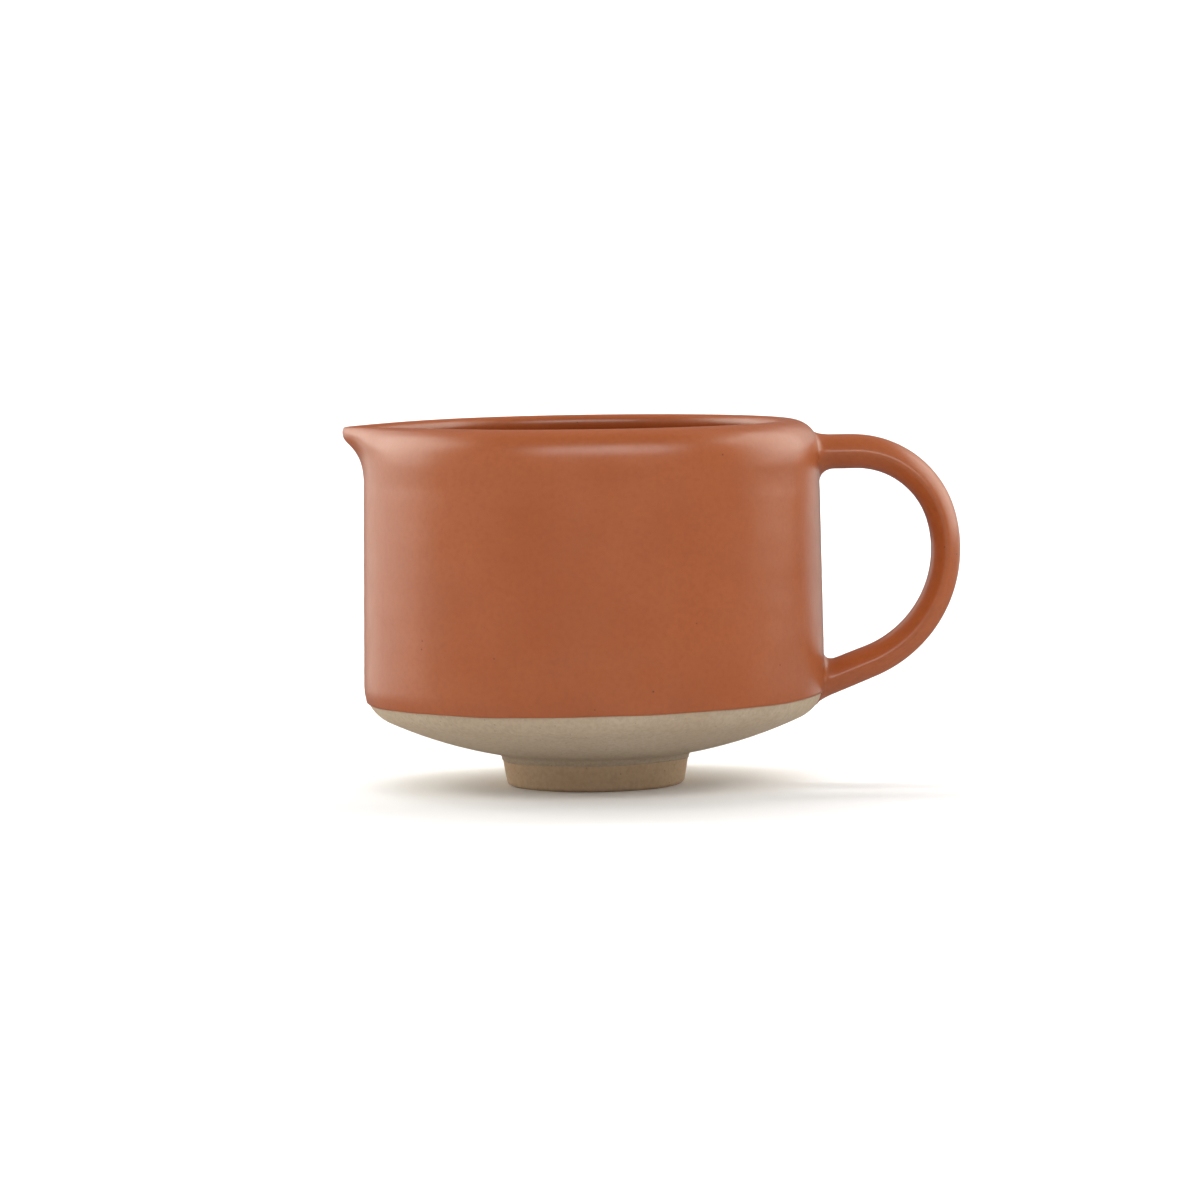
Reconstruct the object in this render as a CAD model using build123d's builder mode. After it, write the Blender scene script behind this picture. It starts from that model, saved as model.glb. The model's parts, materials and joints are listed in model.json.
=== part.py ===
from build123d import *
import os
from math import acos, cos, degrees, radians, sin, sqrt, tan

# A small stoneware pitcher: a thrown body with a pulled lip, an applied foot ring and a
# strap handle, joined with clay slip, then glazed inside, and outside down to a dip line.
# Sizes are in millimetres. The origin is on the body's axis, in the plane the foot stands
# on. +Z is up, +X points to the handle and -X to the pouring lip.

# ---- driving dimensions -------------------------------------------------------------------

jug_height = 78.8
glaze = 0.3                   # thickness of the fired glaze
slip = 0.4                    # thickness of the slip that beds one piece of clay on another

shoulder_radius = 50.05       # glazed wall, where the shoulder starts
rim_radius = 49.3             # glazed wall, where it starts to turn in to the rim
wall_thickness = 4.2
shoulder_height = 21.7
shoulder_turn = 8.05          # radius of the arc between the wall and the bowl
shoulder_angle = 65.0         # degrees that this arc turns through
bowl_turn = 96.3              # radius of the shallow arc of the bowl
band_height = 62.0            # above this height the wall carries the rim and the lip

glaze_line_height = 19.0      # on the axis
glaze_line_tilt = 0.8         # degrees, as the dip line rises a little towards the handle

rim_crest_radius = 43.1
lip_reach = 54.1              # from the axis to the lip's tip
lip_tip_softness = 3.0        # degrees over which the two edges of the lip meet
lip_sections = 17             # evenly spaced across the lip
seam = 0.001                  # how closely the lofted lip meets the turned wall

foot_radius = 19.4            # outside, at the bottom
foot_top_radius = 20.5        # outside, where it meets the bowl
foot_bore_radius = 14.0
foot_corner = 1.2
foot_fillet = 1.3             # slip smoothed into the two corners between foot and bowl

handle_height = 71.6          # middle of the level upper run
handle_width = 12.0
handle_edge = 1.1             # radius along the two long edges of the strap
handle_start = 46.3           # inside the wall, so that both ends can be cut to it
handle_run = 10.7             # straight run before the bend
handle_bends = [(19.5, 75.0), (26.3, 83.5)]     # radius and degrees of each tangent arc
handle_thickness = [8.0, 6.4, 7.5]              # at its upper end, half-way and its lower end

flare_reach = 3.0             # how far the slip is smoothed out along the handle
flare_stations = [0.0, 0.12, 0.4, 0.75, 1.0]    # shares of the reach
flare_sink = 0.2              # how deep the flare's thin end lies inside the strap
upper_flare = (0.5, 3.0, 2.0)                   # above, below and to each side of the strap
lower_flare = (2.4, 0.3, 2.0)
upper_thickness = (8.0, 7.6)                    # of the strap at the wall and at the thin end
lower_thickness = (7.5, 7.1)

# ---- the wall's profile -------------------------------------------------------------------

shoulder_centre = Vector(shoulder_radius - shoulder_turn, shoulder_height)


def below_horizontal(angle):
    return Vector(cos(radians(angle)), -sin(radians(angle)))


bowl_centre = shoulder_centre + below_horizontal(shoulder_angle) * (shoulder_turn - bowl_turn)
wall_run = Vector(rim_radius - shoulder_radius, jug_height - 5 - shoulder_height).normalized()


def wall_radius_at(height):
    """Radius of the glazed wall, which leans in a little from the shoulder to the rim."""
    return shoulder_radius + wall_run.X / wall_run.Y * (height - shoulder_height)


def bowl_height_at(radius, depth):
    """Height of the bowl at this radius, this deep under the glazed surface."""
    return bowl_centre.Y - sqrt((bowl_turn - depth) ** 2 - (radius - bowl_centre.X) ** 2)


def bowl_arc(from_radius, to_radius, depth):
    """An edge along the bowl."""
    radii = (from_radius, (from_radius + to_radius) / 2, to_radius)
    ThreePointArc(*[(radius, bowl_height_at(radius, depth)) for radius in radii])


def floor_height(depth):
    return bowl_centre.Y - bowl_turn + depth


def wall_side(top, depth):
    """Edges from the axis along the floor, the bowl and the shoulder and up the wall to a point."""
    turn = shoulder_turn - depth
    bowl_end = shoulder_centre + below_horizontal(shoulder_angle) * turn
    wall_start = shoulder_centre + below_horizontal(0) * turn
    Line((0, floor_height(depth)), (bowl_centre.X, floor_height(depth)))
    bowl_arc(bowl_centre.X, bowl_end.X, depth)
    ThreePointArc(bowl_end, shoulder_centre + below_horizontal(shoulder_angle / 2) * turn, wall_start)
    Line(wall_start, top)


# ---- the rim and the lip ------------------------------------------------------------------

# The glazed outline as radius from the wall's face and height above the band: up the outside,
# over the crest, which is the sixth point, and down the inside.
round_rim = [
    (0.0, 0.0), (-0.09, 5.6), (-0.18, 10.6), (-1.0, 13.7), (-3.3, 15.97), (-6.4, 16.8),
    (-8.3, 15.7), (-8.2, 13.7), (-6.3, 11.0), (-4.7, 7.0), (-4.2, 0.0),
]
lip_middle = [
    (0.0, 0.0), (-0.02, 5.6), (1.0, 9.8), (3.0, 12.5), (4.4, 14.9), (3.7, 16.4),
    (2.2, 15.8), (0.4, 13.7), (-1.7, 10.6), (-3.6, 6.4), (-4.2, 0.0),
]
crest = 5


def lip_share(angle):
    """1 in the lip's middle and 0 on the round rim, with two straight edges between."""
    softened = min(sqrt(angle**2 + lip_tip_softness**2) - lip_tip_softness, lip_spread)
    return (1 / cos(radians(lip_spread - softened)) - 1) / (1 / cos(radians(lip_spread)) - 1)


lip_spread = degrees(acos(rim_crest_radius / lip_reach))
lip_half_angle = sqrt((lip_spread + lip_tip_softness) ** 2 - lip_tip_softness**2)


def rim_points(angle, depth):
    """The outline at this angle from the lip's middle, this deep under the glazed surface."""
    share = lip_share(angle)
    start = Vector(wall_radius_at(band_height), band_height)
    pairs = [(Vector(*a), Vector(*b)) for a, b in zip(round_rim, lip_middle)]
    points = [start + a * (1 - share) + b * share for a, b in pairs]
    runs = [(b - a).normalized() for a, b in zip(points, points[1:])]
    along = [wall_run] + [a + b for a, b in zip(runs, runs[1:])] + [-wall_run]
    return [point + Vector(-run.Y, run.X).normalized() * depth for point, run in zip(points, along)]


def rim_outside(angle, depth):
    points = rim_points(angle, depth)[: crest + 1]
    Spline(*points, tangents=[wall_run, (-1, 0)], tangent_scalars=[1, 1])


def rim_inside(angle, depth):
    points = rim_points(angle, depth)[crest:]
    Spline(*points, tangents=[(-1, 0), -wall_run], tangent_scalars=[1, 1])


def radial_plane(angle):
    """The upright plane through the axis at this angle from the lip's middle."""
    outwards = Vector(-cos(radians(angle)), -sin(radians(angle)))
    return Plane(origin=(0, 0, 0), x_dir=outwards, z_dir=outwards.cross(Vector(0, 0, 1)))


def rim_band(draw_outline):
    """The top band: turned all round but for the lip, which is lofted between radial sections."""
    gap = 2 * lip_half_angle / (lip_sections - 1)
    with BuildPart() as turned:
        with BuildSketch(radial_plane(lip_half_angle)):
            with BuildLine():
                draw_outline(lip_half_angle)
            make_face()
        revolve(axis=Axis.Z, revolution_arc=360 - 2 * lip_half_angle)
    with BuildPart() as lip:
        for section in range(lip_sections):
            angle = gap * section - lip_half_angle
            with BuildSketch(radial_plane(angle)):
                with BuildLine():
                    draw_outline(angle)
                make_face()
        loft()
    return [turned.part, lip.part]


def clay_outline(angle):
    rim_outside(angle, glaze)
    rim_inside(angle, glaze)
    ends = rim_points(angle, glaze)
    Line(ends[-1], ends[0])


def outer_glaze_outline(angle):
    rim_outside(angle, 0)
    rim_outside(angle, glaze)
    for end in (0, crest):
        Line(rim_points(angle, 0)[end], rim_points(angle, glaze)[end])


def inner_glaze_outline(angle):
    rim_inside(angle, 0)
    rim_inside(angle, glaze)
    for end in (crest, -1):
        Line(rim_points(angle, 0)[end], rim_points(angle, glaze)[end])


# ---- the handle's strap and the flares at its ends ------------------------------------------

with BuildLine(Plane.XZ) as handle_route:
    (upper_bend, upper_sweep), (lower_bend, lower_sweep) = handle_bends
    upper_run = Line((handle_start, handle_height), (handle_start + handle_run, handle_height))
    upper_arc = JernArc(upper_run @ 1, upper_run % 1, upper_bend, -upper_sweep)
    lower_arc = JernArc(upper_arc @ 1, upper_arc % 1, lower_bend, -lower_sweep)
    lower_slope = 180 - upper_sweep - lower_sweep
    back = ((lower_arc @ 1).X - handle_start) / cos(radians(lower_slope))
    lower_run = Line(lower_arc @ 1, lower_arc @ 1 + (lower_arc % 1) * back)

lower_root_height = (lower_run @ 1).Z + tan(radians(lower_slope)) * (shoulder_radius - handle_start)


def strap_section(thickness, width, edge, depth):
    """Two shallow arcs that meet in a soft edge on each side, drawn in the open sketch."""
    with BuildLine() as outline:
        ThreePointArc((-width / 2, 0), (0, thickness / 2), (width / 2, 0))
        ThreePointArc((-width / 2, 0), (0, -thickness / 2), (width / 2, 0))
    make_face(outline.edges())
    fillet(vertices(), edge)
    if depth:
        offset(amount=-depth, mode=Mode.REPLACE)


def strap(depth):
    """The strap from inside the wall, round and back into the wall, this deep under its glaze."""
    path = handle_route.wire()
    with BuildPart() as tube:
        for share, thickness in zip((0, 0.5, 1), handle_thickness):
            with BuildSketch(Plane(origin=path @ share, x_dir=(0, 1, 0), z_dir=path % share)):
                strap_section(thickness, handle_width, handle_edge, depth)
        sweep(path=path, multisection=True)
    return tube.part


def flare(wall_radius, height, slope, thickness, spread, depth):
    """Slip smoothed out between the strap and the wall, in a hollow curve on every side."""
    above, below, aside = spread
    with BuildPart() as collar:
        for station in [-1.0] + flare_stations:
            along = max(station, 0)
            share = 1 - sqrt(1 - (1 - along) ** 2)
            strap_now = thickness[0] + (thickness[1] - thickness[0]) * along
            x = wall_radius - depth + flare_reach * station
            middle = height + tan(radians(slope)) * (x - wall_radius) + (above - below) / 2 * share
            with BuildSketch(Plane(origin=(x, 0, middle), x_dir=(0, 1, 0), z_dir=(1, 0, 0))):
                tall = strap_now / cos(radians(slope)) + (above + below) * share
                wide = handle_width + 2 * aside * share
                sink = flare_sink * (station == 1)
                strap_section(tall, wide, handle_edge * (1 + share), depth + sink)
        loft()
    return collar.part


def upper_root(depth):
    return flare(rim_radius, handle_height, 0, upper_thickness, upper_flare, depth)


def lower_root(depth):
    foot = (shoulder_radius, lower_root_height, lower_slope)
    return flare(*foot, lower_thickness, lower_flare, depth)


def filled_form(depth):
    """Everything inside this surface of the wall, hollow included, without the lip."""
    with BuildPart() as form:
        with BuildSketch(Plane.XZ):
            with BuildLine():
                rim = rim_points(lip_half_angle, depth)
                wall_side(rim[0], depth)
                rim_outside(lip_half_angle, depth)
                Line(rim[crest], (0, rim[crest].Y))
                Line((0, rim[crest].Y), (0, floor_height(depth)))
            make_face()
        revolve(axis=Axis.Z)
    return form.part


def wall_layer(outer, outer_top, inner, inner_top):
    """A turned layer between two depths, from the floor to the band under the rim."""
    with BuildPart() as layer:
        with BuildSketch(Plane.XZ):
            with BuildLine():
                wall_side(outer_top, outer)
                wall_side(inner_top, inner)
                Line(outer_top, inner_top)
                Line((0, floor_height(outer)), (0, floor_height(inner)))
            make_face()
        revolve(axis=Axis.Z)
    return layer.part


def joined(layer, band):
    """One solid of a turned layer and the top band that stands on it."""
    return layer.fuse(*band, tol=seam)


# ---- outlines and forms that several pieces share ---------------------------------------------

clay_ends = rim_points(lip_half_angle, glaze)
glaze_ends = rim_points(lip_half_angle, 0)
clay_form = filled_form(glaze)
slip_form = filled_form(glaze - slip)
clay_strap = strap(glaze)
clay_upper_root = upper_root(glaze)
clay_lower_root = lower_root(glaze)

# ---- stoneware body: thrown wall and bowl, with the lip pulled out of the rim ----------------

clay_wall = wall_layer(glaze, clay_ends[0], wall_thickness - glaze, clay_ends[-1])
clay_rim = rim_band(clay_outline)

with BuildPart() as stoneware_body:
    add(joined(clay_wall, clay_rim))

# ---- foot ring and the slip that beds it ----------------------------------------------------

foot_seat = glaze - slip      # the ring's top follows the bowl, one bed of slip below the clay

with BuildPart() as foot_ring:
    with BuildSketch(Plane.XZ):
        with BuildLine():
            outer_top = (foot_top_radius, bowl_height_at(foot_top_radius, foot_seat))
            inner_top = (foot_bore_radius, bowl_height_at(foot_bore_radius, foot_seat))
            Line((foot_bore_radius, 0), (foot_radius, 0))
            Line((foot_radius, 0), outer_top)
            bowl_arc(foot_bore_radius, foot_top_radius, foot_seat)
            Line(inner_top, (foot_bore_radius, 0))
        make_face()
    revolve(axis=Axis.Z)
    fillet(edges().filter_by(GeomType.CIRCLE).group_by(Axis.Z)[0], foot_corner)

with BuildPart() as foot_slip_joint:
    with BuildSketch(Plane.XZ):
        with BuildLine():
            side = (Vector(*outer_top) - Vector(foot_radius, 0)).normalized()
            hollow = 0.3 * foot_fillet
            outer_edge = foot_top_radius + foot_fillet
            outer_high = (outer_edge, bowl_height_at(outer_edge, glaze))
            outer_mid = (foot_top_radius + hollow, outer_top[1] - hollow)
            outer_low = Vector(*outer_top) - side * foot_fillet
            inner_edge = foot_bore_radius - foot_fillet
            inner_high = (inner_edge, bowl_height_at(inner_edge, glaze))
            inner_mid = (foot_bore_radius - hollow, inner_top[1] - hollow)
            inner_low = (foot_bore_radius, inner_top[1] - foot_fillet)
            Line(outer_low, outer_top)
            bowl_arc(foot_bore_radius, foot_top_radius, foot_seat)
            Line(inner_top, inner_low)
            ThreePointArc(inner_low, inner_mid, inner_high)
            bowl_arc(inner_edge, outer_edge, glaze)
            ThreePointArc(outer_high, outer_mid, outer_low)
        make_face()
    revolve(axis=Axis.Z)

# ---- handle and the slip that joins it -------------------------------------------------------

with BuildPart() as handle:
    add(clay_strap)
    add(slip_form, mode=Mode.SUBTRACT)

with BuildPart() as upper_handle_slip_joint:
    add(clay_upper_root)
    add(clay_form, mode=Mode.SUBTRACT)
    add(handle.part, mode=Mode.SUBTRACT)

with BuildPart() as lower_handle_slip_joint:
    add(clay_lower_root)
    add(clay_form, mode=Mode.SUBTRACT)
    add(handle.part, mode=Mode.SUBTRACT)

# ---- glaze ----------------------------------------------------------------------------------

inner_wall_glaze = wall_layer(wall_thickness - glaze, clay_ends[-1], wall_thickness, glaze_ends[-1])
inner_rim_glaze = rim_band(inner_glaze_outline)

with BuildPart() as interior_glaze:
    add(joined(inner_wall_glaze, inner_rim_glaze))

outer_wall_glaze = wall_layer(0, glaze_ends[0], glaze, clay_ends[0])
outer_rim_glaze = rim_band(outer_glaze_outline)
tilt = radians(glaze_line_tilt)
dip_plane = Plane(origin=(0, 0, glaze_line_height), z_dir=(-sin(tilt), 0, cos(tilt)))
clay_handle = [clay_strap, clay_upper_root, clay_lower_root]
glazed_handle = [strap(0), upper_root(0), lower_root(0)]

with BuildPart() as dipped_wall:
    add(outer_wall_glaze)
    split(bisect_by=dip_plane, keep=Keep.TOP)

with BuildPart() as handle_coat:
    add(glazed_handle)
    add(clay_form, mode=Mode.SUBTRACT)
    add(clay_handle, mode=Mode.SUBTRACT)

with BuildPart() as wall_coat:
    add(joined(dipped_wall.part, outer_rim_glaze))
    add(clay_handle, mode=Mode.SUBTRACT)

with BuildPart() as exterior_glaze:
    add(wall_coat.part)
    add(handle_coat.part)

# ---- one file for each piece ----------------------------------------------------------------

pieces = {
    "stoneware_body": stoneware_body,
    "foot_ring": foot_ring,
    "foot_slip_joint": foot_slip_joint,
    "handle": handle,
    "upper_handle_slip_joint": upper_handle_slip_joint,
    "lower_handle_slip_joint": lower_handle_slip_joint,
    "interior_glaze": interior_glaze,
    "exterior_glaze": exterior_glaze,
}

os.makedirs("parts", exist_ok=True)
for name, piece in pieces.items():
    piece.part.label = name
    export_step(piece.part, f"parts/{name}.step")
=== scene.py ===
import json
import math

import bpy
import numpy as np
from mathutils import Euler, Matrix, Vector

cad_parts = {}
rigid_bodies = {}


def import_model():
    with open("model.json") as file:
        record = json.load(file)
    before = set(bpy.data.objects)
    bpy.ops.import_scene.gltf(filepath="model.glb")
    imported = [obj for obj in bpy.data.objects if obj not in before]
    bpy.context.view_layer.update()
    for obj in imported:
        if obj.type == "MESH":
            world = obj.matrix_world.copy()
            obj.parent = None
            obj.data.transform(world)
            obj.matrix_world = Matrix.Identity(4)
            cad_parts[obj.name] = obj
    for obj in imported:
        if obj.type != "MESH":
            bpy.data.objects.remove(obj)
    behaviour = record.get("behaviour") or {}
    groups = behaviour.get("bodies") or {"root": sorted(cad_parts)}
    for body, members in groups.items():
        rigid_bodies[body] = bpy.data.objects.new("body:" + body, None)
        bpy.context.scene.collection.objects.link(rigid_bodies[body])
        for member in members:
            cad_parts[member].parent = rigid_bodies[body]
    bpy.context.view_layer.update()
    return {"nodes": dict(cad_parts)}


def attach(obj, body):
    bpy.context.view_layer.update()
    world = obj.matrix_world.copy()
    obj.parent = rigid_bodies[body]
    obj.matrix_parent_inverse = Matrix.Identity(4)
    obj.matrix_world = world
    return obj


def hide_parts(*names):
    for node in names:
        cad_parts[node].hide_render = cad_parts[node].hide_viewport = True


for leftover in list(bpy.data.objects):
    bpy.data.objects.remove(leftover)
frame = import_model()
scene = bpy.context.scene

# Lengths are in millimetres down to the studio, and become metres as each mesh is made.
MM = 0.001

# ---- the form, in the CAD part's own dimensions ----------------------------------------------
HEIGHT = 78.8
GLAZE = 0.3                 # thickness of the glaze
WALL = 4.2                  # thickness of the wall with its glaze
SHOULDER_R, RIM_R = 50.05, 49.3
RIM_DROP = 5.0              # the wall's lean is measured up to this far below the top
SHOULDER_Z, SHOULDER_TURN, SHOULDER_ANGLE = 21.7, 8.05, math.radians(65.0)
BOWL_TURN = 96.3            # radius of the bowl's shallow arc
BAND_Z = 62.0               # above this height the wall carries the rim and the lip
EDGE_Z = 19.0               # height of the glaze's edge, the dip line, on the axis
EDGE_TILT = math.tan(math.radians(0.8))     # its rise towards the handle
ARC_X = SHOULDER_R - SHOULDER_TURN
BOWL_X = ARC_X + math.cos(SHOULDER_ANGLE) * (SHOULDER_TURN - BOWL_TURN)
BOWL_Z = SHOULDER_Z - math.sin(SHOULDER_ANGLE) * (SHOULDER_TURN - BOWL_TURN)
WALL_SLOPE = (RIM_R - SHOULDER_R) / (HEIGHT - RIM_DROP - SHOULDER_Z)
WALL_RUN = np.array([WALL_SLOPE, 1.0]) / math.hypot(WALL_SLOPE, 1.0)

# the rim's section from BAND_Z up, over the crest and down the inside: on the round rim, and
# in the middle of the lip
ROUND_RIM = np.array([
    (0.0, 0.0), (-0.09, 5.6), (-0.18, 10.6), (-1.0, 13.7), (-3.3, 15.97), (-6.4, 16.8),
    (-8.3, 15.7), (-8.2, 13.7), (-6.3, 11.0), (-4.7, 7.0), (-4.2, 0.0)])
LIP_MIDDLE = np.array([
    (0.0, 0.0), (-0.02, 5.6), (1.0, 9.8), (3.0, 12.5), (4.4, 14.9), (3.7, 16.4),
    (2.2, 15.8), (0.4, 13.7), (-1.7, 10.6), (-3.6, 6.4), (-4.2, 0.0)])
CREST = 5                   # index of the crest in both sections
CREST_R, LIP_REACH, LIP_SOFT = 43.1, 54.1, math.radians(3.0)
LIP_SPREAD = math.acos(CREST_R / LIP_REACH)

# how far the hand-made surfaces stray from true: (amplitude, waves around, start) of each wave
EDGE_WAVES = [(0.10, 2, 0.4), (0.07, 5, 1.9), (0.05, 9, 4.0), (0.03, 17, 2.2)]
WALL_WAVES = [(0.045, 2, 0.9), (0.03, 3, 2.6)]
FOOT_WAVES = [(0.03, 3, 0.2), (0.02, 7, 1.1)]
COLLAR_WAVES = [(0.12, 2, 0.3), (0.08, 5, 2.2)]
# throwing rings, coarse and fine: size, radians per mm of height, and how far the coarse wander
RING_SIZE, RING_RATE, RING_WANDER = 0.012, 0.83, 0.6
FINE_SIZE, FINE_RATE = 0.009, 1.91
THROWN_FROM, THROWN_RISE = 8.0, 12.0        # rings and waves grow over this range of height

# ---- how finely the meshes are divided
AROUND = 256                # steps around the body
FOOT_AROUND = 192           # steps around the foot ring and its slip
CURVE_STEPS = 25            # points on each span of a spline before it is resampled
RIM_ROWS, RIM_CROWDING = 30, 1.35
COAT_ROWS = (3, 20, 8, 16)  # inside rows over the floor, the bowl, the shoulder and the wall
BURIED_ROWS = (2, 8, 4, 6)  # the same for surfaces that are never seen
COAT_DOWN_ROWS, COAT_BACK_ROWS = 30, 10     # down the outside, and up behind it
CLAY_ROWS = (3, 44, 16, 8)  # outside rows of the clay over the flat, bowl, shoulder and wall
POLE_R = 0.6                # where the rows of the bowl begin, next to the axis


def wall_radius_at(z):
    return SHOULDER_R + WALL_SLOPE * (z - SHOULDER_Z)


def lip_share(angle):
    """1 in the lip's middle and 0 on the round rim."""
    softened = min(math.sqrt(angle * angle + LIP_SOFT ** 2) - LIP_SOFT, LIP_SPREAD)
    return (1 / math.cos(LIP_SPREAD - softened) - 1) / (1 / math.cos(LIP_SPREAD) - 1)


def from_lip(theta):
    """The angle from the lip's middle, which points to -X."""
    turned = (theta - math.pi) % (2 * math.pi)
    return min(turned, 2 * math.pi - turned)


def rim_points(share, depth):
    """The rim's outline as (radius, height) points, this deep under the glazed surface."""
    start = np.array([wall_radius_at(BAND_Z), BAND_Z])
    points = start + ROUND_RIM * (1 - share) + LIP_MIDDLE * share
    runs = np.diff(points, axis=0)
    runs /= np.linalg.norm(runs, axis=1)[:, None]
    along = np.vstack([WALL_RUN, runs[:-1] + runs[1:], -WALL_RUN])
    along /= np.linalg.norm(along, axis=1)[:, None]
    return points + np.column_stack([-along[:, 1], along[:, 0]]) * depth


def spline(points, start, end, shares):
    """A smooth curve through the points with the given end directions, at shares of its length."""
    steps = np.linalg.norm(np.diff(points, axis=0), axis=1)
    count = len(points)
    matrix = np.zeros((count, count))
    right = np.zeros((count, 2))
    matrix[0, 0] = matrix[-1, -1] = 1
    right[0], right[-1] = start, end
    for i in range(1, count - 1):
        before, after = steps[i - 1], steps[i]
        matrix[i, i - 1: i + 2] = after, 2 * (before + after), before
        right[i] = 3 * (after * (points[i] - points[i - 1]) / before
                        + before * (points[i + 1] - points[i]) / after)
    slopes = np.linalg.solve(matrix, right)
    fine = []
    for i, step in enumerate(steps):
        t = np.linspace(0, 1, CURVE_STEPS)[:, None]
        if i:
            t = t[1:]
        fine.append((2 * t ** 3 - 3 * t ** 2 + 1) * points[i]
                    + (t ** 3 - 2 * t ** 2 + t) * step * slopes[i]
                    + (-2 * t ** 3 + 3 * t ** 2) * points[i + 1]
                    + (t ** 3 - t ** 2) * step * slopes[i + 1])
    fine = np.vstack(fine)
    length = np.concatenate([[0], np.cumsum(np.linalg.norm(np.diff(fine, axis=0), axis=1))])
    wanted = np.asarray(shares) * length[-1]
    return np.column_stack([np.interp(wanted, length, fine[:, k]) for k in (0, 1)])


# shares of the way up the outside of the rim, crowded together near the crest
RIM_OUT = 1 - (1 - np.linspace(0, 1, RIM_ROWS)) ** RIM_CROWDING
RIM_IN = 1 - RIM_OUT[::-1]


def rim_outside(share, depth):
    points = rim_points(share, depth)[: CREST + 1]
    return spline(points, WALL_RUN, np.array([-1.0, 0.0]), RIM_OUT)


def rim_inside(share, depth):
    points = rim_points(share, depth)[CREST:]
    return spline(points, np.array([-1.0, 0.0]), -WALL_RUN, RIM_IN)


def outside_at(run, depth):
    """A point of the outside, at this run along the wall up (or, below 0, round the shoulder)."""
    if run >= 0:
        return np.array([wall_radius_at(SHOULDER_Z + run) - depth, SHOULDER_Z + run])
    angle = -run / SHOULDER_TURN
    turn = SHOULDER_TURN - depth
    return np.array([ARC_X + turn * math.cos(angle), SHOULDER_Z - turn * math.sin(angle)])


def bowl_at(radius, depth):
    """A point of the bowl, which is level inside of BOWL_X."""
    inward = max(radius - BOWL_X, 0.0)
    return np.array([radius, BOWL_Z - math.sqrt((BOWL_TURN - depth) ** 2 - inward ** 2)])


def shoulder_rows(depth, count):
    """From the bowl's end up to the wall's start."""
    angles = np.linspace(SHOULDER_ANGLE, 0, count)
    turn = SHOULDER_TURN - depth
    return np.column_stack([ARC_X + turn * np.cos(angles), SHOULDER_Z - turn * np.sin(angles)])


def wobble(theta, terms):
    """A closed, slightly uneven line: the sum of a few waves of (amplitude, waves, start)."""
    return sum(size * math.sin(waves * theta + start) for size, waves, start in terms)


def edge_height(theta):
    return EDGE_Z + EDGE_TILT * SHOULDER_R * math.cos(theta) + wobble(theta, EDGE_WAVES)


def edge_run(theta):
    """The dip line as a run round the shoulder, for outside_at."""
    return -SHOULDER_TURN * math.asin((SHOULDER_Z - edge_height(theta)) / SHOULDER_TURN)


def thrown(theta, z):
    """How far the hand-thrown wall strays from true: a little out of round, with faint rings."""
    swell = min(1.0, max(0.0, (z - THROWN_FROM) / THROWN_RISE))
    return swell * (wobble(theta, WALL_WAVES)
                    + RING_SIZE * math.sin(z * RING_RATE + RING_WANDER * math.sin(theta))
                    + FINE_SIZE * math.sin(z * FINE_RATE + theta))


# ---- mesh making ------------------------------------------------------------------------------
def mesh_object(name, vertices, faces):
    mesh = bpy.data.meshes.new(name)
    mesh.from_pydata([tuple(v * MM for v in vertex) for vertex in vertices], [], faces)
    mesh.validate()
    mesh.update()
    for polygon in mesh.polygons:
        polygon.use_smooth = True
    obj = bpy.data.objects.new(name, mesh)
    scene.collection.objects.link(obj)
    return obj


def closed_skin(name, loops, first_pole=None, last_pole=None, ring=False):
    """A closed mesh from loops of equally many points, with a pole at each end or as a ring."""
    count = len(loops[0])
    vertices = [point for loop in loops for point in loop]
    faces = []
    pairs = list(zip(range(len(loops) - 1), range(1, len(loops))))
    if ring:
        pairs.append((len(loops) - 1, 0))
    for a, b in pairs:
        for i in range(count):
            j = (i + 1) % count
            faces.append((a * count + i, a * count + j, b * count + j, b * count + i))
    if first_pole is not None:
        vertices.append(first_pole)
        pole = len(vertices) - 1
        faces += [(pole, (i + 1) % count, i) for i in range(count)]
    if last_pole is not None:
        vertices.append(last_pole)
        pole = len(vertices) - 1
        base = (len(loops) - 1) * count
        faces += [(pole, base + i, base + (i + 1) % count) for i in range(count)]
    return mesh_object(name, vertices, faces)


def turned_loops(outlines, thetas):
    """Loops around Z from one (radius, height) outline for each angle."""
    rows = len(outlines[0])
    loops = []
    for row in range(rows):
        loop = []
        for outline, theta in zip(outlines, thetas):
            radius, z = outline[row]
            radius += thrown(theta, z)
            loop.append((radius * math.cos(theta), radius * math.sin(theta), z))
        loops.append(loop)
    return loops


THETAS = [2 * math.pi * i / AROUND for i in range(AROUND)]


# ---- the glaze coat of the body: inside, over the rim, and outside down to the dip line ---------
def inside_rows(share, depth, floor_rows, bowl_rows, turn_rows, wall_rows):
    """From near the axis over the floor and the bowl and up the inside to the crest."""
    inner = WALL - depth
    rows = [(radius, bowl_at(0, inner)[1]) for radius in np.linspace(POLE_R, BOWL_X, floor_rows)]
    bowl_end = ARC_X + (SHOULDER_TURN - inner) * math.cos(SHOULDER_ANGLE)
    radii = np.linspace(BOWL_X, bowl_end, bowl_rows)
    rows += [tuple(bowl_at(radius, inner)) for radius in radii[1:]]
    rows += [tuple(p) for p in shoulder_rows(inner, turn_rows)[1:]]
    top = rim_points(share, depth)[-1]
    bottom = np.array(rows[-1])
    rows += [tuple(bottom + (top - bottom) * t) for t in np.linspace(0, 1, wall_rows)[1:]]
    rows += [tuple(p) for p in rim_inside(share, depth)[::-1][1:]]
    return rows


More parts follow.
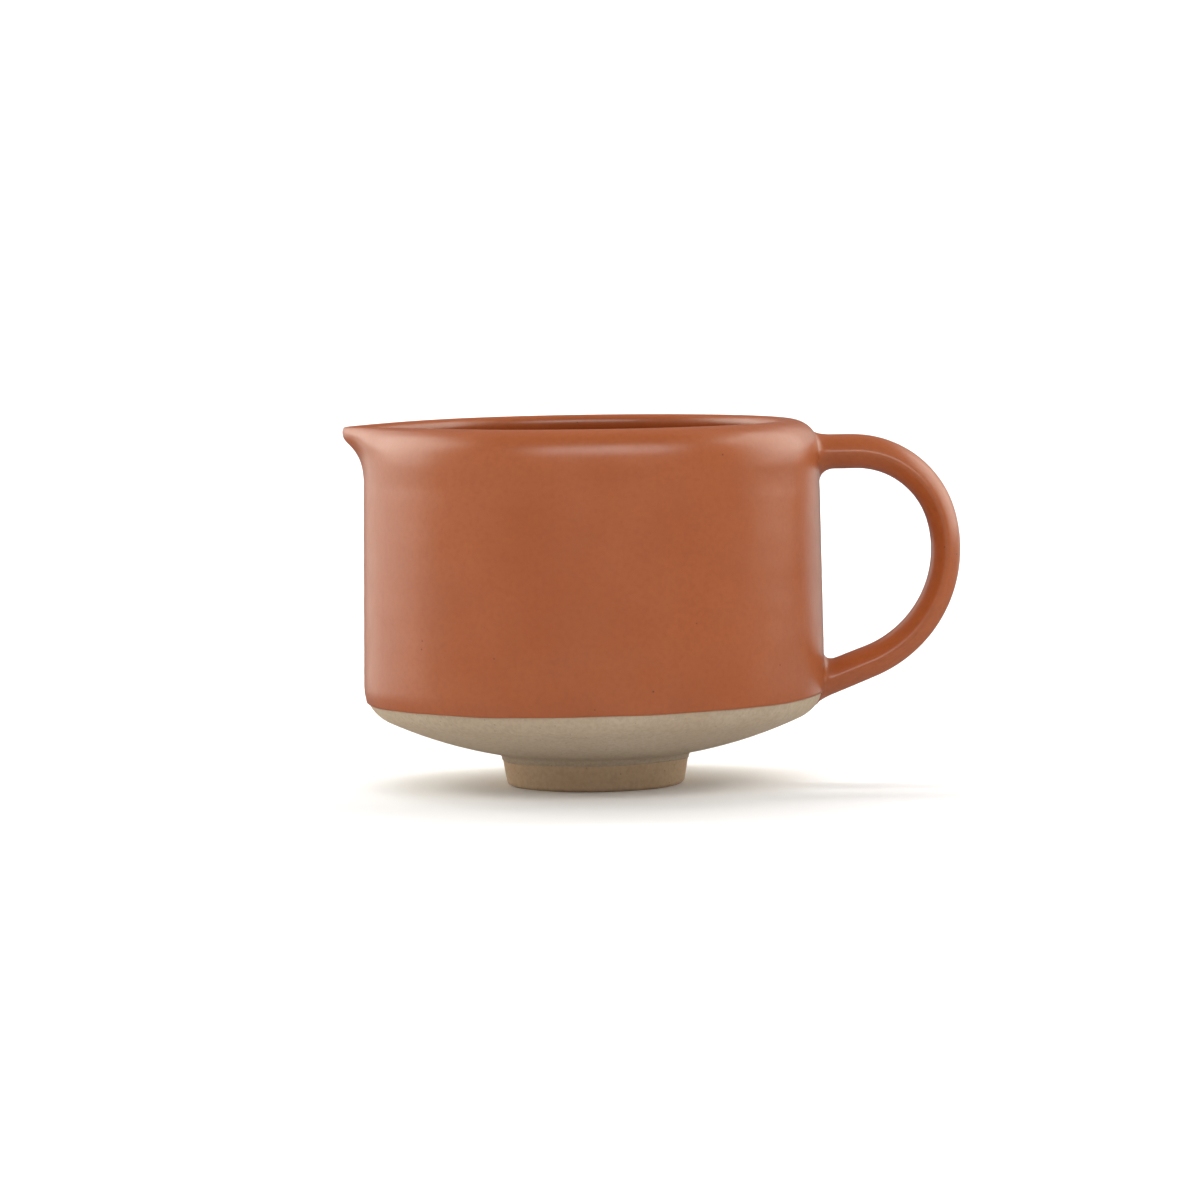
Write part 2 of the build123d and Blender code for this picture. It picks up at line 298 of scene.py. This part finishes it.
# (lift above the dip line, depth under the glazed surface) of the coat's rolled edge: a slight
# bead, then a quarter turn down on to the clay
ROLLED_EDGE = [(0.85, -0.02), (0.6, -0.06), (0.38, -0.07), (0.2, -0.03), (0.07, 0.06),
               (0.0, 0.17), (0.0, 0.3), (0.12, 0.42)]
EDGE_FROM, BACK_FROM = 1.1, 0.4     # lift where the edge begins, and where the coat's back does


def coat_outline(theta):
    """From the floor inside up to the crest, down the outside, and back behind the coat."""
    share = lip_share(from_lip(theta))
    low = edge_run(theta)
    top = BAND_Z - SHOULDER_Z
    rows = inside_rows(share, 0.0, *COAT_ROWS)
    rows += [tuple(p) for p in rim_outside(share, 0.0)[::-1][1:]]
    runs = top + (low + EDGE_FROM - top) * np.linspace(0, 1, COAT_DOWN_ROWS)
    rows += [tuple(outside_at(run, 0.0)) for run in runs[1:]]
    rows += [tuple(outside_at(low + lift, depth)) for lift, depth in ROLLED_EDGE]
    runs = low + BACK_FROM + (top - low - BACK_FROM) * np.linspace(0, 1, COAT_BACK_ROWS)
    rows += [tuple(outside_at(run, GLAZE)) for run in runs]
    rows += [tuple(p) for p in rim_outside(share, GLAZE)[1:]]
    rows += inside_rows(share, GLAZE, *BURIED_ROWS)[::-1][1:]
    return rows


coat_outlines = [coat_outline(theta) for theta in THETAS]
glaze_coat = closed_skin(
    "glaze_coat", turned_loops(coat_outlines, THETAS)[::-1],
    first_pole=(0, 0, bowl_at(0, WALL - GLAZE)[1]), last_pole=(0, 0, bowl_at(0, WALL)[1]))


# ---- the clay body: wall, bowl and the lip pulled out of the rim ---------------------------------
CLAY = GLAZE + 0.02        # under the coat, clear of its back


def clay_outline(theta):
    """From near the axis out under the bowl, up the outside to the crest, and back inside."""
    share = lip_share(from_lip(theta))
    flat_rows, bowl_rows, turn_rows, wall_rows = CLAY_ROWS
    rows = [(radius, bowl_at(0, GLAZE)[1]) for radius in np.linspace(POLE_R, BOWL_X, flat_rows)]
    bowl_end = ARC_X + (SHOULDER_TURN - GLAZE) * math.cos(SHOULDER_ANGLE)
    radii = np.linspace(BOWL_X, bowl_end, bowl_rows)
    rows += [tuple(bowl_at(radius, GLAZE)) for radius in radii[1:]]
    rows += [tuple(p) for p in shoulder_rows(GLAZE, turn_rows)[1:]]
    top = rim_points(share, CLAY)[0]
    bottom = np.array(rows[-1])
    rows += [tuple(bottom + (top - bottom) * t) for t in np.linspace(0, 1, wall_rows)[1:]]
    rows += [tuple(p) for p in rim_outside(share, CLAY)[1:]]
    rows += inside_rows(share, CLAY, *BURIED_ROWS)[::-1][1:]
    return rows


clay_outlines = [clay_outline(theta) for theta in THETAS]
clay_body = closed_skin(
    "clay_body", turned_loops(clay_outlines, THETAS),
    first_pole=(0, 0, bowl_at(0, GLAZE)[1]), last_pole=(0, 0, bowl_at(0, WALL - CLAY)[1]))

# ---- foot ring and its slip ----------------------------------------------------------------------
FOOT_R, FOOT_TOP_R, FOOT_BORE_R, FOOT_CORNER, FOOT_FILLET = 19.4, 20.5, 14.0, 1.2, 1.3
FOOT_TOP_Z = 7.4            # the ring's top, inside the bowl's clay
FOOT_LEAN_Z = 7.0           # the height over which the outside leans from FOOT_R to FOOT_TOP_R
CORNER_ROWS, FLAT_ROWS, LEAN_ROWS, BORE_ROWS = 8, 6, 12, 10


def arc_rows(centre, radius, start, end, count):
    angles = np.radians(np.linspace(start, end, count))
    return [(centre[0] + radius * math.cos(a), centre[1] + radius * math.sin(a)) for a in angles]


def foot_outline(theta):
    """Round the ring's section: bottom, outside, top (inside the bowl's clay), bore."""
    lean = math.degrees(math.atan2(FOOT_TOP_R - FOOT_R, FOOT_LEAN_Z))
    uneven = wobble(theta, FOOT_WAVES)
    radii = np.linspace(FOOT_BORE_R + FOOT_CORNER, FOOT_R - FOOT_CORNER, FLAT_ROWS)
    rows = [(radius, 0.0) for radius in radii]
    rows += arc_rows((FOOT_R - FOOT_CORNER, FOOT_CORNER), FOOT_CORNER, -90, -lean, CORNER_ROWS)[1:]
    start = np.array(rows[-1])
    end = np.array([FOOT_TOP_R, FOOT_TOP_Z])
    rows += [tuple(start + (end - start) * t) for t in np.linspace(0, 1, LEAN_ROWS)[1:]]
    rows += [(r, FOOT_TOP_Z) for r in np.linspace(FOOT_TOP_R, FOOT_BORE_R, FLAT_ROWS)[1:-1]]
    rows += [(FOOT_BORE_R, z) for z in np.linspace(FOOT_TOP_Z, FOOT_CORNER, BORE_ROWS)]
    inner_corner = (FOOT_BORE_R + FOOT_CORNER, FOOT_CORNER)
    rows += arc_rows(inner_corner, FOOT_CORNER, 180, 270, CORNER_ROWS)[1:-1]
    return [(r + uneven, z) for r, z in rows]


foot_thetas = [2 * math.pi * i / FOOT_AROUND for i in range(FOOT_AROUND)]
foot_outlines = [foot_outline(theta) for theta in foot_thetas]
foot = closed_skin("foot_ring_clay", turned_loops(foot_outlines, foot_thetas), ring=True)

SLIP_OUT_SINK, SLIP_IN_SINK = 0.16, 0.04    # how deep the collars' lower ends lie in the ring
SLIP_PAST = 0.6             # how far the buried part goes past each collar's thin edge
SLIP_OUT_DEPTH, SLIP_IN_DEPTH, SLIP_BED_DEPTH = 0.35, 0.25, 0.9      # its depths in the bowl
SLIP_KEY, SLIP_KEY_RISE = 1.5, 0.5          # how far it goes into the ring, and up
SLIP_OUT_ROWS, SLIP_IN_ROWS, SLIP_BED_ROWS = 12, 10, 5


def foot_slip_outline(theta):
    """A hollow collar in the outer corner, one in the inner corner, joined inside the clay."""
    outer = FOOT_FILLET + wobble(theta, COLLAR_WAVES)
    inner = FOOT_FILLET
    top = bowl_at(FOOT_TOP_R + outer, GLAZE)[1]
    low = bowl_at(FOOT_TOP_R, GLAZE)[1] - outer
    rows = []
    for t in np.linspace(0, 1, SLIP_OUT_ROWS):
        angle = t * math.pi / 2
        rows.append((FOOT_TOP_R + outer * (1 - math.cos(angle)) - SLIP_OUT_SINK * (1 - t),
                     low + (top - low) * math.sin(angle)))
    past = FOOT_TOP_R + outer + SLIP_PAST
    rows.append((past, bowl_at(past, GLAZE + SLIP_OUT_DEPTH)[1]))
    bed = GLAZE + SLIP_BED_DEPTH
    radii = np.linspace(FOOT_TOP_R, FOOT_BORE_R, SLIP_BED_ROWS)
    rows += [(radius, bowl_at(radius, bed)[1]) for radius in radii]
    inner_top = bowl_at(FOOT_BORE_R - inner, GLAZE)[1]
    inner_low = bowl_at(FOOT_BORE_R, GLAZE)[1] - inner
    rows.append((FOOT_BORE_R - inner - SLIP_PAST, inner_top + SLIP_IN_DEPTH))
    for t in np.linspace(0, 1, SLIP_IN_ROWS)[::-1]:
        angle = t * math.pi / 2
        rows.append((FOOT_BORE_R - inner * (1 - math.cos(angle)) + SLIP_IN_SINK * (1 - t),
                     inner_low + (inner_top - inner_low) * math.sin(angle)))
    rows.append((FOOT_BORE_R + SLIP_KEY, inner_low + SLIP_KEY_RISE))
    rows.append((FOOT_TOP_R - SLIP_KEY, low + SLIP_KEY_RISE))
    return rows


slip_outlines = [foot_slip_outline(theta) for theta in foot_thetas]
foot_slip = closed_skin("foot_slip", turned_loops(slip_outlines, foot_thetas), ring=True)

# ---- the handle, glazed, with its ends wiped out on to the wall ----------------------------------
HANDLE_Z = 71.6             # middle of the level upper run
HANDLE_HALF = 6.0           # half the strap's width
HANDLE_EDGE = 1.1           # radius along its two long edges
HANDLE_START, HANDLE_RUN = 46.3, 10.7
BENDS = [(19.5, math.radians(75.0)), (26.3, math.radians(83.5))]     # radius and sweep
THICKNESS = [8.0, 6.4, 7.5]         # at the upper end, half-way and at the lower end
THINNING = 1.5                      # a power: how soon it thins away from its ends
EDGE_STEPS, FACE_STEPS = 5, 11      # around a quarter of the section
STRAP_ROWS = 110

# the slip wiped out on to the wall at each end, a little wider than in the CAD part
FLARE_REACH = 3.4                   # along the strap
UPPER_FLARE = (0.9, 3.2, 2.2)       # on the wall: above, below and to each side of the strap
LOWER_FLARE = (2.6, 0.9, 2.2)
UPPER_JOIN, LOWER_JOIN = 1.2, 8.6   # how far before the bend, and before the end, it stops
FLARE_ROWS = 13
FLARE_PULL = 0.62                   # how hollow its curve is
FLARE_CLEAR = 0.2                   # strap left free between the curve and the join
FLARE_SINK = 0.004                  # its thin edge lies this deep in the wall
# (distance past the thin edge, depth in the wall) of the rows that close it inside the clay
BURIED_EDGE = [(-0.6, 0.75), (0.2, 0.62), (0.5, 0.42), (0.55, 0.22), (0.45, 0.07), (0.25, 0.012)]
WALL_SEARCH, HALVINGS = 14.0, 40    # how far meet_wall looks, and how often it halves that
SLOPE_STEP = 0.2                    # half the height over which the wall's slope is taken
PROFILE_ROWS = 40                   # round the shoulder, in the wall's profile for meet_wall


def handle_route():
    """The strap's middle line, as a function from length to place and heading, and its length."""
    pieces = [("line", HANDLE_RUN, (HANDLE_START, HANDLE_Z), 0.0)]
    x, z, heading = HANDLE_START + HANDLE_RUN, HANDLE_Z, 0.0
    for radius, sweep in BENDS:
        centre = (x + radius * math.sin(heading), z - radius * math.cos(heading))
        pieces.append(("arc", radius * sweep, centre, heading, radius))
        heading -= sweep
        x = centre[0] - radius * math.sin(heading)
        z = centre[1] + radius * math.cos(heading)
    last = (x - HANDLE_START) / abs(math.cos(heading))
    pieces.append(("line", last, (x, z), heading))
    total = sum(piece[1] for piece in pieces)

    def at(length):
        for piece in pieces:
            if length <= piece[1] or piece is pieces[-1]:
                break
            length -= piece[1]
        if piece[0] == "line":
            (x, z), heading = piece[2:]
            return (x + length * math.cos(heading), z + length * math.sin(heading)), heading
        (x, z), first_heading, radius = piece[2:]
        heading = first_heading - length / radius
        return (x - radius * math.sin(heading), z + radius * math.cos(heading)), heading

    return at, total


route_at, route_length = handle_route()


def thickness_at(share):
    """Thickest at the wall, thinnest half-way round."""
    ends = THICKNESS[0] if share < 0.5 else THICKNESS[2]
    return THICKNESS[1] + (ends - THICKNESS[1]) * abs(2 * share - 1) ** THINNING


def strap_section(thickness):
    """The section's points as (across, outward, the angle at which the surface faces)."""
    half = thickness / 2
    big = (HANDLE_HALF ** 2 + half ** 2) / (2 * half)
    drop = big - half
    corner = math.sqrt((big - HANDLE_EDGE) ** 2 - drop ** 2)
    turn = math.atan2(drop, corner)
    quarter = []
    for i in range(EDGE_STEPS + 1):
        angle = turn * i / EDGE_STEPS
        across = corner + HANDLE_EDGE * math.cos(angle)
        quarter.append((across, HANDLE_EDGE * math.sin(angle), angle))
    for i in range(1, FACE_STEPS + 1):
        angle = turn + (math.pi / 2 - turn) * i / FACE_STEPS
        quarter.append((big * math.cos(angle), big * math.sin(angle) - drop, angle))
    points = list(quarter)
    points += [(-a, b, math.pi - c) for a, b, c in quarter[-2::-1]]
    points += [(-a, -b, math.pi + c) for a, b, c in quarter[1:]]
    points += [(a, -b, 2 * math.pi - c) for a, b, c in quarter[-2:0:-1]]
    return points


def strap_loop(length):
    (x, z), heading = route_at(length)
    section = strap_section(thickness_at(length / route_length))
    out = (-math.sin(heading), math.cos(heading))
    return [(x + b * out[0], a, z + b * out[1]) for a, b, _ in section]


# the body's outside behind the handle, as radius over height
profile = np.vstack([shoulder_rows(0.0, PROFILE_ROWS), rim_outside(0.0, 0.0)])
profile_r, profile_z = profile[:, 0], profile[:, 1]


def profile_at(z):
    return np.interp(z, profile_z, profile_r)


def wall_point(y, z):
    return np.array([math.sqrt(max(profile_at(z) ** 2 - y ** 2, 0.0)), y, z])


def wall_normal(y, z):
    slope = (profile_at(z + SLOPE_STEP) - profile_at(z - SLOPE_STEP)) / (2 * SLOPE_STEP)
    point = wall_point(y, z)
    normal = np.array([point[0], point[1], -slope * math.hypot(point[0], point[1])])
    return normal / np.linalg.norm(normal)


def meet_wall(point, heading):
    """Where a line from this point along the heading, in the XZ plane, meets the wall."""
    low, high = 0.0, WALL_SEARCH
    direction = np.array([math.cos(heading), 0, math.sin(heading)])
    for _ in range(HALVINGS):
        middle = (low + high) / 2
        there = point + direction * middle
        outside = math.hypot(there[0], there[1]) > profile_at(there[2])
        low, high = (middle, high) if outside else (low, middle)
    return point + direction * low, low


def root_loops(length, inward, flare):
    """Loops from inside the wall, out over the wiped slip and on to the strap at this length."""
    above, below, aside = flare
    (x, z), heading = route_at(length)
    section = strap_section(thickness_at(length / route_length))
    out = (-math.sin(heading), math.cos(heading))
    direction = np.array([math.cos(inward), 0, math.sin(inward)])
    columns = []
    for a, b, facing in section:
        start = np.array([x + b * out[0], a, z + b * out[1]])
        hit, distance = meet_wall(start, inward)
        rise = above if b * out[1] > 0 else -below
        foot_y = hit[1] + aside * math.cos(facing)
        foot_z = hit[2] + rise * abs(math.sin(facing))
        foot = wall_point(foot_y, foot_z)
        normal = wall_normal(foot_y, foot_z)
        away = foot - hit
        away -= normal * away.dot(normal)
        width = np.linalg.norm(away)
        away /= max(width, 1e-6)
        reach = min(FLARE_REACH, distance - FLARE_CLEAR)
        top = hit - direction * reach
        # buried rows, then the thin edge, then the hollow curve up to the strap
        column = [foot + away * along - normal * depth for along, depth in BURIED_EDGE]
        base = foot - normal * FLARE_SINK
        grip_foot = base - away * width * FLARE_PULL
        grip_top = top + direction * reach * FLARE_PULL
        for t in np.linspace(0, 1, FLARE_ROWS):
            column.append(base * (1 - t) ** 3 + grip_foot * 3 * t * (1 - t) ** 2
                          + grip_top * 3 * t * t * (1 - t) + top * t ** 3)
        columns.append(column)
    return [[tuple(point) for point in loop] for loop in zip(*columns)]


upper_at = HANDLE_RUN - UPPER_JOIN
lower_at = route_length - LOWER_JOIN
upper_loops = root_loops(upper_at, math.pi, UPPER_FLARE)
lower_loops = root_loops(lower_at, route_at(route_length)[1], LOWER_FLARE)
strap_loops = [strap_loop(length) for length in np.linspace(upper_at, lower_at, STRAP_ROWS)]
handle = closed_skin(
    "handle_glazed", upper_loops + strap_loops + lower_loops[::-1],
    first_pole=tuple(np.mean(np.array(upper_loops[0]), axis=0)),
    last_pole=tuple(np.mean(np.array(lower_loops[0]), axis=0)))


# ---- materials -----------------------------------------------------------------------------------
GLAZE_BASE = (0.3457, 0.0835, 0.0195, 1)
GLAZE_PALE = (0.3689, 0.0929, 0.023, 1)
GLAZE_DARK = (0.2866, 0.0606, 0.0133, 1)
GLAZE_SPECK = (0.045, 0.016, 0.010, 1)
GLAZE_FINE_SPECK = (0.09, 0.03, 0.015, 1)
CLAY_BASE = (0.4223, 0.3214, 0.2245, 1)
CLAY_PALE = (0.4532, 0.3605, 0.2626, 1)
CLAY_DARK = (0.2884, 0.2215, 0.1545, 1)
CLAY_GRIT = (0.11, 0.085, 0.06, 1)
CLAY_SAND = (0.60, 0.51, 0.40, 1)
# painted light: the foot's clay colours are lighter and warmer than the bowl's clay, which makes up
# for the shade under the bowl
FOOT_PAINTED_LIGHT_BASE = (0.5192, 0.357, 0.224, 1)
FOOT_PAINTED_LIGHT_PALE = (0.5632, 0.3948, 0.252, 1)
FOOT_PAINTED_LIGHT_DARK = (0.3696, 0.252, 0.152, 1)
SPECK_CORE = 0.55           # share of a speck's radius that has its full colour


def node_material(name):
    material = bpy.data.materials.new(name)
    material.use_nodes = True
    nodes = material.node_tree.nodes
    links = material.node_tree.links
    return material, nodes, links, nodes["Principled BSDF"]


def noise(nodes, links, coords, scale, detail=2.0, roughness=0.5):
    node = nodes.new("ShaderNodeTexNoise")
    node.inputs["Scale"].default_value = scale
    node.inputs["Detail"].default_value = detail
    node.inputs["Roughness"].default_value = roughness
    links.new(coords, node.inputs["Vector"])
    return node.outputs["Fac"]


def ramp(nodes, links, value, low, high, start=0.0, end=1.0):
    node = nodes.new("ShaderNodeMapRange")
    node.inputs["From Min"].default_value = low
    node.inputs["From Max"].default_value = high
    node.inputs["To Min"].default_value = start
    node.inputs["To Max"].default_value = end
    links.new(value, node.inputs["Value"])
    return node.outputs["Result"]


def mix(nodes, links, factor, a, b):
    node = nodes.new("ShaderNodeMix")
    node.data_type = "RGBA"
    for socket, value in ((node.inputs[0], factor), (node.inputs[6], a), (node.inputs[7], b)):
        if isinstance(value, bpy.types.NodeSocket):
            links.new(value, socket)
        else:
            socket.default_value = value
    return node.outputs[2]


def tint(nodes, links, mask, under, over, low=0.0, high=1.0, strength=1.0):
    """From one colour towards another as the mask rises from low to high, by this strength."""
    return mix(nodes, links, ramp(nodes, links, mask, low, high, 0.0, strength), under, over)


def specks(nodes, links, coords, scale, size, keep):
    """1 inside sparse round dots: this scale of cells, size in cells, and share of them kept."""
    cells = nodes.new("ShaderNodeTexVoronoi")
    cells.feature = "F1"
    cells.inputs["Scale"].default_value = scale
    links.new(coords, cells.inputs["Vector"])
    near = ramp(nodes, links, cells.outputs["Distance"], size, size * SPECK_CORE)
    split = nodes.new("ShaderNodeSeparateColor")
    links.new(cells.outputs["Color"], split.inputs[0])
    chosen = nodes.new("ShaderNodeMath")
    chosen.operation = "LESS_THAN"
    chosen.inputs[1].default_value = keep
    links.new(split.outputs[0], chosen.inputs[0])
    both = nodes.new("ShaderNodeMath")
    both.operation = "MULTIPLY"
    links.new(near, both.inputs[0])
    links.new(chosen.outputs[0], both.inputs[1])
    return both.outputs[0]


def bump(nodes, links, height, strength, distance, normal=None):
    node = nodes.new("ShaderNodeBump")
    node.inputs["Strength"].default_value = strength
    node.inputs["Distance"].default_value = distance
    links.new(height, node.inputs["Height"])
    if normal is not None:
        links.new(normal, node.inputs["Normal"])
    return node.outputs["Normal"]


def glaze_material(name, base, pale, dark):
    """Satin terracotta glaze: soft mottling, sparse dark specks, a faint orange-peel surface."""
    material, nodes, links, shader = node_material(name)
    coords = nodes.new("ShaderNodeTexCoord").outputs["Object"]
    clouds = noise(nodes, links, coords, scale=55.0, detail=3.0)
    grain = noise(nodes, links, coords, scale=900.0)
    colour = tint(nodes, links, clouds, base, pale, low=0.35, high=0.65)
    colour = tint(nodes, links, grain, colour, dark, low=0.4, high=0.75, strength=0.35)
    dots = specks(nodes, links, coords, scale=330.0, size=0.085, keep=0.10)
    small = specks(nodes, links, coords, scale=700.0, size=0.10, keep=0.10)
    colour = tint(nodes, links, dots, colour, GLAZE_SPECK, strength=0.72)
    colour = tint(nodes, links, small, colour, GLAZE_FINE_SPECK, strength=0.35)
    links.new(colour, shader.inputs["Base Color"])
    gloss = noise(nodes, links, coords, scale=120.0, detail=3.0)
    roughness = ramp(nodes, links, gloss, low=0.3, high=0.7, start=0.30, end=0.37)
    links.new(roughness, shader.inputs["Roughness"])
    shader.inputs["IOR"].default_value = 1.6
    peel = noise(nodes, links, coords, scale=260.0, detail=3.0)
    skin = bump(nodes, links, peel, strength=0.10, distance=0.0004)
    skin = bump(nodes, links, grain, strength=0.05, distance=0.0001, normal=skin)
    links.new(skin, shader.inputs["Normal"])
    return material


def clay_material(name, base, pale, dark, grain_scale=1100.0):
    """Bare fired stoneware: fine sandy grain, with small dark grits and pale sand."""
    material, nodes, links, shader = node_material(name)
    coords = nodes.new("ShaderNodeTexCoord").outputs["Object"]
    clouds = noise(nodes, links, coords, scale=70.0, detail=3.0)
    grain = noise(nodes, links, coords, grain_scale, detail=3.0, roughness=0.6)
    colour = tint(nodes, links, clouds, base, pale, low=0.3, high=0.7)
    colour = tint(nodes, links, grain, colour, dark, low=0.42, high=0.62, strength=0.30)
    grit = specks(nodes, links, coords, scale=950.0, size=0.20, keep=0.22)
    sand = specks(nodes, links, coords, scale=800.0, size=0.18, keep=0.16)
    colour = tint(nodes, links, grit, colour, CLAY_GRIT, strength=0.40)
    colour = tint(nodes, links, sand, colour, CLAY_SAND, strength=0.35)
    links.new(colour, shader.inputs["Base Color"])
    roughness = ramp(nodes, links, grain, low=0.3, high=0.7, start=0.78, end=0.92)
    links.new(roughness, shader.inputs["Roughness"])
    shader.inputs["Specular IOR Level"].default_value = 0.25
    skin = bump(nodes, links, grain, strength=0.35, distance=0.00015)
    skin = bump(nodes, links, clouds, strength=0.10, distance=0.0006, normal=skin)
    links.new(skin, shader.inputs["Normal"])
    return material


glaze = glaze_material("satin_glaze", GLAZE_BASE, GLAZE_PALE, GLAZE_DARK)
clay = clay_material("bare_clay", CLAY_BASE, CLAY_PALE, CLAY_DARK)
# the foot's clay carries painted light: its colours are lightened and warmed to offset the shade
# under the bowl
foot_clay = clay_material("foot_clay", FOOT_PAINTED_LIGHT_BASE, FOOT_PAINTED_LIGHT_PALE, FOOT_PAINTED_LIGHT_DARK)
slip_clay = clay_material("slip", CLAY_BASE, CLAY_PALE, CLAY_DARK, grain_scale=1400.0)

pieces = [
    (glaze_coat, glaze, "glaze", ("exterior_glaze", "interior_glaze")),
    (clay_body, clay, "body_clay", ("stoneware_body",)),
    (foot, foot_clay, "foot_clay", ("foot_ring",)),
    (foot_slip, slip_clay, "slip", ("foot_slip_joint",)),
    (handle, glaze, "glaze", ("handle", "upper_handle_slip_joint", "lower_handle_slip_joint")),
]
for piece, material, slot_name, nodes_replaced in pieces:
    piece.data.materials.append(material)
    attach(piece, "root")
    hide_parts(*nodes_replaced)
# every CAD node has a piece in its place, so this shows only if one comes back
for node in frame["nodes"].values():
    node.data.materials.clear()
    node.data.materials.append(slip_clay)

# ---- the studio: floor, light and camera, in metres ----------------------------------------------
FLOOR_HALF, FLOOR_FRONT, FLOOR_BACK, SWEEP_R, BACK_HEIGHT = 3.0, -3.0, 1.6, 0.8, 2.6
SWEEP_STEPS = 24
PAPER, PAPER_PALE = (0.90, 0.90, 0.90, 1), (0.93, 0.93, 0.93, 1)
SKY, SKY_STRENGTH = (0.86, 0.92, 1.0, 1), 0.20

WHITE, WARM = (1, 1, 1), (1.0, 0.99, 0.90)
JUG_MIDDLE, BACKDROP_MIDDLE = (0, 0, 0.045), (0, 2.4, 0.5)
# name, place, (width, height), power in watts and colour of each panel that faces the jug
SOFTBOXES = [
    ("left_box", (-0.86, 0.58, 0.35), (1.4, 1.0), 4.8, WARM),
    ("left_front_box", (-1.10, -0.45, 0.35), (1.0, 0.8), 0.7, WARM),
    ("right_box", (0.62, 0.95, 0.30), (0.5, 0.9), 1.1, WARM),
    ("front_box", (0.18, -1.28, 0.99), (2.0, 0.8), 16.4, WHITE),
    ("upper_left_box", (-0.80, 0.30, 0.47), (0.8, 0.8), 5.0, WARM),
    ("upper_right_box", (0.80, 0.30, 0.45), (0.8, 0.8), 5.6, WARM),
]
BACKDROP_BOX = ("backdrop_box", (0.0, 1.1, 2.2), (2.6, 0.8), 70.0, WHITE)

SENSOR, LENS, CLIP_START = 36.0, 156.93, 0.05       # the first two in millimetres
CAMERA_PLACE = (0.0, -1.1344, 0.1210)
PITCH, YAW, ROLL = 0.0713, -0.0013, -0.0140


def sweep_floor():
    """A floor that curves up into a backdrop."""
    rows = [(FLOOR_FRONT, 0.0), (FLOOR_BACK, 0.0)]
    for i in range(1, SWEEP_STEPS + 1):
        angle = math.pi / 2 * i / SWEEP_STEPS
        rows.append((FLOOR_BACK + SWEEP_R * math.sin(angle), SWEEP_R * (1 - math.cos(angle))))
    rows.append((FLOOR_BACK + SWEEP_R, BACK_HEIGHT))
    vertices = [(x, y, z) for y, z in rows for x in (-FLOOR_HALF, FLOOR_HALF)]
    faces = [(2 * i, 2 * i + 1, 2 * i + 3, 2 * i + 2) for i in range(len(rows) - 1)]
    return mesh_object("floor", [tuple(v / MM for v in vertex) for vertex in vertices], faces)


floor = sweep_floor()
paper, nodes, links, shader = node_material("paper_floor")
fibre = noise(nodes, links, nodes.new("ShaderNodeTexCoord").outputs["Object"], scale=3.0)
links.new(mix(nodes, links, fibre, PAPER, PAPER_PALE), shader.inputs["Base Color"])
shader.inputs["Roughness"].default_value = 0.9
shader.inputs["Specular IOR Level"].default_value = 0.1
floor.data.materials.append(paper)
floor.visible_glossy = False        # or it would show as a white line along the rim

world = bpy.data.worlds.new("studio")
scene.world = world
world.use_nodes = True
background = world.node_tree.nodes["Background"]
background.inputs["Color"].default_value = SKY
background.inputs["Strength"].default_value = SKY_STRENGTH


def softbox(name, place, size, power, colour, target=JUG_MIDDLE):
    light = bpy.data.lights.new(name, "AREA")
    light.shape = "RECTANGLE"
    light.size, light.size_y = size
    light.energy = power
    light.color = colour
    obj = bpy.data.objects.new(name, light)
    scene.collection.objects.link(obj)
    obj.location = place
    obj.rotation_euler = (Vector(target) - Vector(place)).to_track_quat("-Z", "Y").to_euler()
    return obj


for box in SOFTBOXES:
    softbox(*box)
backdrop_box = softbox(*BACKDROP_BOX, target=BACKDROP_MIDDLE)
backdrop_box.visible_glossy = False

camera_data = bpy.data.cameras.new("camera")
camera_data.sensor_width = SENSOR
camera_data.lens = LENS
camera_data.clip_start = CLIP_START
camera = bpy.data.objects.new("camera", camera_data)
scene.collection.objects.link(camera)
turn = (Euler((0, 0, YAW)).to_matrix() @ Euler((math.pi / 2 - PITCH, 0, 0)).to_matrix()
        @ Euler((0, 0, ROLL)).to_matrix())
camera.matrix_world = Matrix.Translation(CAMERA_PLACE) @ turn.to_4x4()
scene.camera = camera

scene.view_settings.view_transform = "Standard"
